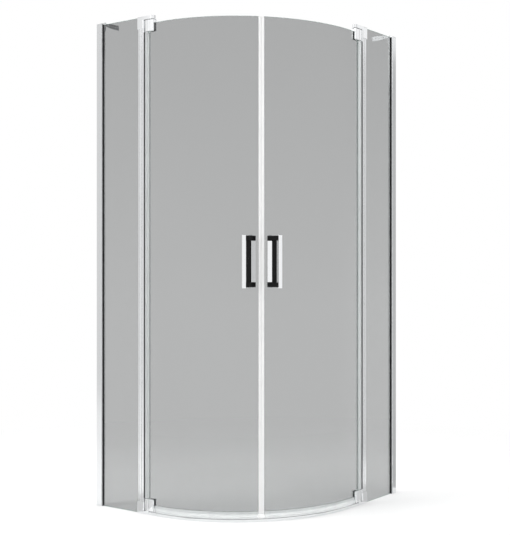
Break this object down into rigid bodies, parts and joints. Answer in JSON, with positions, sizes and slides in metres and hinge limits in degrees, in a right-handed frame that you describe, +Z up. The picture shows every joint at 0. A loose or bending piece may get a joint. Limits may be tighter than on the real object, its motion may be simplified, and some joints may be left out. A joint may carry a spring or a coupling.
{
  "type": "corner shower enclosure",
  "caption": "Quadrant corner shower enclosure: fixed side panels and curved clear glass doors on pivot hinges, closing at a magnetic seal, with bar handles and polished wall profiles.",
  "frame": {"origin": "middle of the enclosure's outer square, at floor level", "axes": "+Z up; -X towards the left wall and +Y towards the right wall, seen from the front; the doors meet on the diagonal towards +X and -Y"},
  "size_m": [0.9086, 0.9086, 2.02],
  "materials": {
    "bright_aluminium": "bright polished and anodised",
    "polished_chrome": "polished chrome",
    "black_lacquer": "gloss black lacquer",
    "clear_glass": "clear toughened glass with polished edges",
    "clear_vinyl": "clear soft vinyl",
    "white_vinyl": "white soft vinyl",
    "magnet_rubber": "magnet rubber",
    "black_rubber": "soft black rubber",
    "screw_steel": "stainless steel",
    "bush_plastic": "natural acetal"
  },
  "bodies": {
    "frame": {"left_block_screws": "screw_steel", "left_channel_screws": "screw_steel", "left_fixed_panel": "clear_glass", "left_glass_channel": "bright_aluminium", "left_hinge_pins": "screw_steel", "left_hinge_post": "bright_aluminium", "left_lower_hinge_block": "polished_chrome", "left_post_gasket": "black_rubber", "left_profile_cap": "bright_aluminium", "left_profile_gaskets": "black_rubber", "left_top_bracket": "bright_aluminium", "left_upper_hinge_block": "polished_chrome", "left_wall_profile": "bright_aluminium", "right_block_screws": "screw_steel", "right_channel_screws": "screw_steel", "right_fixed_panel": "clear_glass", "right_glass_channel": "bright_aluminium", "right_hinge_pins": "screw_steel", "right_hinge_post": "bright_aluminium", "right_lower_hinge_block": "polished_chrome", "right_post_gasket": "black_rubber", "right_profile_cap": "bright_aluminium", "right_profile_gaskets": "black_rubber", "right_top_bracket": "bright_aluminium", "right_upper_hinge_block": "polished_chrome", "right_wall_profile": "bright_aluminium", "threshold_strip": "bright_aluminium"},
    "left_door": {"left_bottom_seal": "clear_vinyl", "left_clamp_gaskets": "black_rubber", "left_clamp_plates": "polished_chrome", "left_clamp_screws": "screw_steel", "left_door_glass": "clear_glass", "left_handle_base": "black_lacquer", "left_handle_bolts": "screw_steel", "left_handle_grip": "polished_chrome", "left_handle_trim": "polished_chrome", "left_hinge_bushes": "bush_plastic", "left_hinge_seal": "clear_vinyl", "left_inner_handle": "polished_chrome", "left_lower_clamp": "polished_chrome", "left_magnet_seal": "white_vinyl", "left_magnet_strip": "magnet_rubber", "left_upper_clamp": "polished_chrome"},
    "right_door": {"right_bottom_seal": "clear_vinyl", "right_clamp_gaskets": "black_rubber", "right_clamp_plates": "polished_chrome", "right_clamp_screws": "screw_steel", "right_door_glass": "clear_glass", "right_handle_base": "black_lacquer", "right_handle_bolts": "screw_steel", "right_handle_grip": "polished_chrome", "right_handle_trim": "polished_chrome", "right_hinge_bushes": "bush_plastic", "right_hinge_seal": "clear_vinyl", "right_inner_handle": "polished_chrome", "right_lower_clamp": "polished_chrome", "right_magnet_seal": "white_vinyl", "right_magnet_strip": "magnet_rubber", "right_upper_clamp": "polished_chrome"}
  },
  "joints": [
    {"name": "left_door_swing", "type": "hinge", "parent": "frame", "child": "left_door", "pos_m": [-0.17125, -0.44275, 1], "axis": [0, 0, -1], "range_deg": [0, 90]},
    {"name": "right_door_swing", "type": "hinge", "parent": "frame", "child": "right_door", "pos_m": [0.44275, 0.17125, 1], "axis": [0, 0, 1], "range_deg": [0, 90]}
  ]
}
